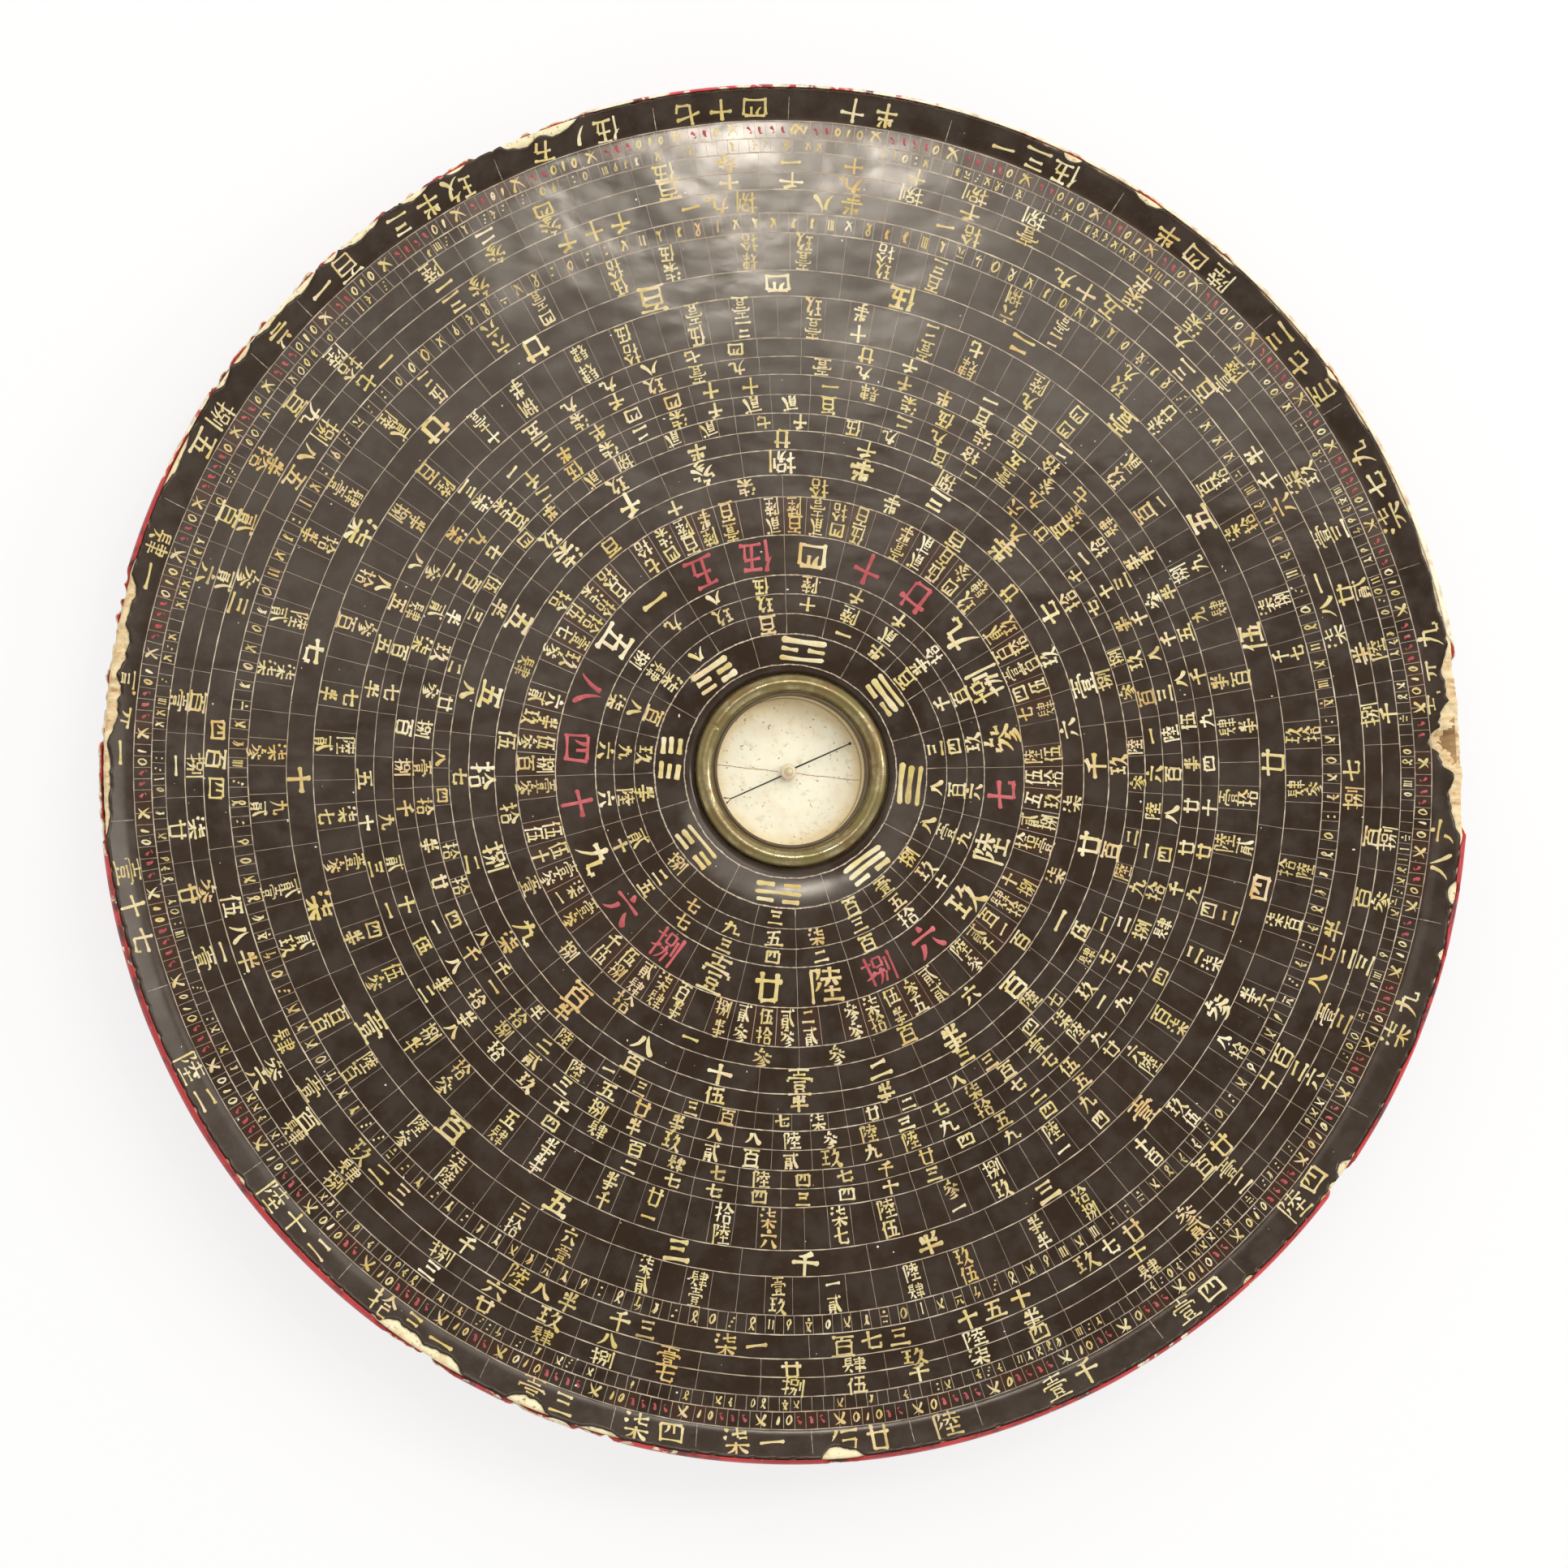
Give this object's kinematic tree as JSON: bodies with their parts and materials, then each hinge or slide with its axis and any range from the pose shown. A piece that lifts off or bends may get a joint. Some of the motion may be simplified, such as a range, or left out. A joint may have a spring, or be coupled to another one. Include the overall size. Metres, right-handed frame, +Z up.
{
  "type": "feng shui compass",
  "caption": "Round lacquered wooden feng shui compass, its dished dial ringed with fine marks, with a brass-bezelled glazed well and a needle that swings on a pin.",
  "frame": {"origin": "centre of the flat back that the compass rests on", "axes": "+Z up through the centre of the dial, +Y to the top of the dial, +X to its right"},
  "size_m": [0.3196, 0.32, 0.0249],
  "materials": {
    "turned_wood": "bare turned wood, worn",
    "ash_ground": "matt cream ash and lacquer filler",
    "black_lacquer": "old brown-black lacquer, dull sheen, with yellow and red brushed marks",
    "red_lacquer": "worn red lacquer, satin",
    "back_lacquer": "plain dark lacquer, scuffed",
    "cup_brass": "dull turned brass",
    "floor_card": "aged cream card with foxing and a fine red-brown line",
    "boss_brass": "dull brass",
    "pivot_steel": "ground steel point",
    "needle_iron": "dark magnetised iron",
    "cap_brass": "worn brass",
    "clear_glass": "thin clear glass",
    "ring_brass": "darkened brass wire",
    "bezel_brass": "olive-brown patinated brass"
  },
  "bodies": {
    "case": {"wood_disc": "turned_wood", "ground_coat": "ash_ground", "face_lacquer": "black_lacquer", "edge_lacquer": "red_lacquer", "back_lacquer": "back_lacquer", "well_cup": "cup_brass", "well_floor": "floor_card", "pivot_boss": "boss_brass", "pivot_pin": "pivot_steel", "glass_cover": "clear_glass", "retaining_ring": "ring_brass", "bezel_ring": "bezel_brass"},
    "needle_body": {"needle": "needle_iron", "needle_cap": "cap_brass"}
  },
  "joints": [
    {"name": "needle_spin", "type": "hinge", "parent": "case", "child": "needle_body", "pos_m": [0, 0, 0.0162], "axis": [0, 0, 1], "continuous": true}
  ]
}
